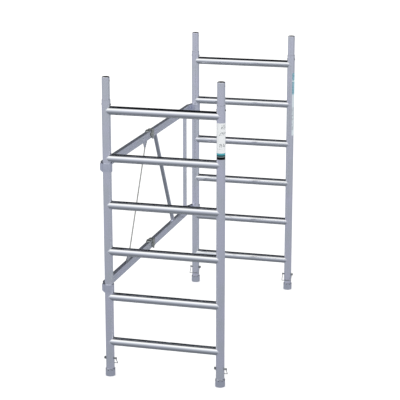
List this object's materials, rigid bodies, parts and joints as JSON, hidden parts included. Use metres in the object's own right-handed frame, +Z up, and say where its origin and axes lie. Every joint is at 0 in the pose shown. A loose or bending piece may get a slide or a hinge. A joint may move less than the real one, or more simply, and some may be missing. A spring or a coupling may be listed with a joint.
{
  "type": "folding scaffold base unit",
  "caption": "Aluminium fold-out scaffold base: two rung ladder frames with top spigots and pinned foot sockets, joined on one side by a hinged folding brace.",
  "frame": {"origin": "on the floor, midway between the four upright axes", "axes": "+Z up, X across a frame with the folding brace on the -X side, Y from the front frame at -Y to the rear frame at +Y"},
  "size_m": [0.7888, 1.9748, 1.812],
  "materials": {
    "upright_tube": "mill-finish drawn tube, satin",
    "rung_tube": "bright drawn tube, polished",
    "spigot_tube": "drawn tube, satin",
    "ferrule": "pressed ring, satin",
    "collar_extrusion": "extruded, satin",
    "rail_tube": "extruded box tube, satin",
    "web_tube": "drawn tube, satin",
    "zinc_hardware": "zinc plated steel",
    "zinc_wire": "zinc plated steel",
    "rivet": "domed rivet heads",
    "dark_rivet": "blackened steel",
    "label_front": "printed vinyl sticker",
    "label_rear": "printed vinyl sticker"
  },
  "bodies": {
    "front_frame": {"upright_front_left": "upright_tube", "spigot_front_left": "spigot_tube", "ferrule_front_left": "ferrule", "lock_pin_front_left": "zinc_wire", "upright_front_right": "upright_tube", "spigot_front_right": "spigot_tube", "ferrule_front_right": "ferrule", "lock_pin_front_right": "zinc_wire", "rung_front_1": "rung_tube", "rung_front_2": "rung_tube", "rung_front_3": "rung_tube", "rung_front_4": "rung_tube", "rung_front_5": "rung_tube", "rung_front_6": "rung_tube", "frame_rivets_front": "dark_rivet", "label_front": "label_front"},
    "front_brace": {"collar_front_upper": "collar_extrusion", "collar_front_lower": "collar_extrusion", "rail_front_upper": "rail_tube", "rail_front_lower": "rail_tube", "hinge_leaf_front_upper": "zinc_hardware", "hinge_leaf_front_lower": "zinc_hardware", "brace_rivets_front": "rivet", "hinge_pins": "zinc_hardware", "tie_rod": "web_tube", "rod_gusset_upper": "web_tube", "rod_gusset_lower": "web_tube"},
    "rear_brace": {"collar_rear_upper": "collar_extrusion", "collar_rear_lower": "collar_extrusion", "rail_rear_upper": "rail_tube", "rail_rear_lower": "rail_tube", "hinge_leaf_rear_upper": "zinc_hardware", "hinge_leaf_rear_lower": "zinc_hardware", "brace_rivets_rear": "rivet", "vertical_tube": "web_tube", "diagonal_tube": "web_tube", "catch_plates": "zinc_hardware", "catch_tongues": "zinc_hardware", "catch_plungers": "zinc_hardware"},
    "rear_frame": {"upright_rear_left": "upright_tube", "spigot_rear_left": "spigot_tube", "ferrule_rear_left": "ferrule", "lock_pin_rear_left": "zinc_wire", "upright_rear_right": "upright_tube", "spigot_rear_right": "spigot_tube", "ferrule_rear_right": "ferrule", "lock_pin_rear_right": "zinc_wire", "rung_rear_1": "rung_tube", "rung_rear_2": "rung_tube", "rung_rear_3": "rung_tube", "rung_rear_4": "rung_tube", "rung_rear_5": "rung_tube", "rung_rear_6": "rung_tube", "frame_rivets_rear": "dark_rivet", "label_rear": "label_rear"},
    "bail_front_left": {"bail_front_left": "zinc_wire"},
    "bail_front_right": {"bail_front_right": "zinc_wire"},
    "bail_rear_left": {"bail_rear_left": "zinc_wire"},
    "bail_rear_right": {"bail_rear_right": "zinc_wire"}
  },
  "joints": [
    {"name": "fold", "type": "hinge", "parent": "front_frame", "child": "front_brace", "pos_m": [-0.34, -0.957, 0.91515], "axis": [0, 0, -1], "range_deg": [0, 90]},
    {"name": "middle_hinge", "type": "hinge", "parent": "front_brace", "child": "rear_brace", "pos_m": [-0.4019, 0, 0.91515], "axis": [0, 0, 1], "range_deg": [0, 180]},
    {"name": "rear_turn", "type": "hinge", "parent": "rear_brace", "child": "rear_frame", "pos_m": [-0.34, 0.957, 0.91515], "axis": [0, 0, -1], "range_deg": [0, 90]},
    {"name": "bail_swing_front_left", "type": "hinge", "parent": "front_frame", "child": "bail_front_left", "pos_m": [-0.34, -0.957, 0.109], "axis": [1, 0, 0], "range_deg": [0, 98]},
    {"name": "bail_swing_front_right", "type": "hinge", "parent": "front_frame", "child": "bail_front_right", "pos_m": [0.34, -0.957, 0.109], "axis": [1, 0, 0], "range_deg": [0, 98]},
    {"name": "bail_swing_rear_left", "type": "hinge", "parent": "rear_frame", "child": "bail_rear_left", "pos_m": [-0.34, 0.957, 0.109], "axis": [-1, 0, 0], "range_deg": [0, 98]},
    {"name": "bail_swing_rear_right", "type": "hinge", "parent": "rear_frame", "child": "bail_rear_right", "pos_m": [0.34, 0.957, 0.109], "axis": [-1, 0, 0], "range_deg": [0, 98]}
  ],
  "couplings": [
    {"joint": "middle_hinge", "follows": "fold", "ratio": 2},
    {"joint": "rear_turn", "follows": "fold", "ratio": 1}
  ]
}
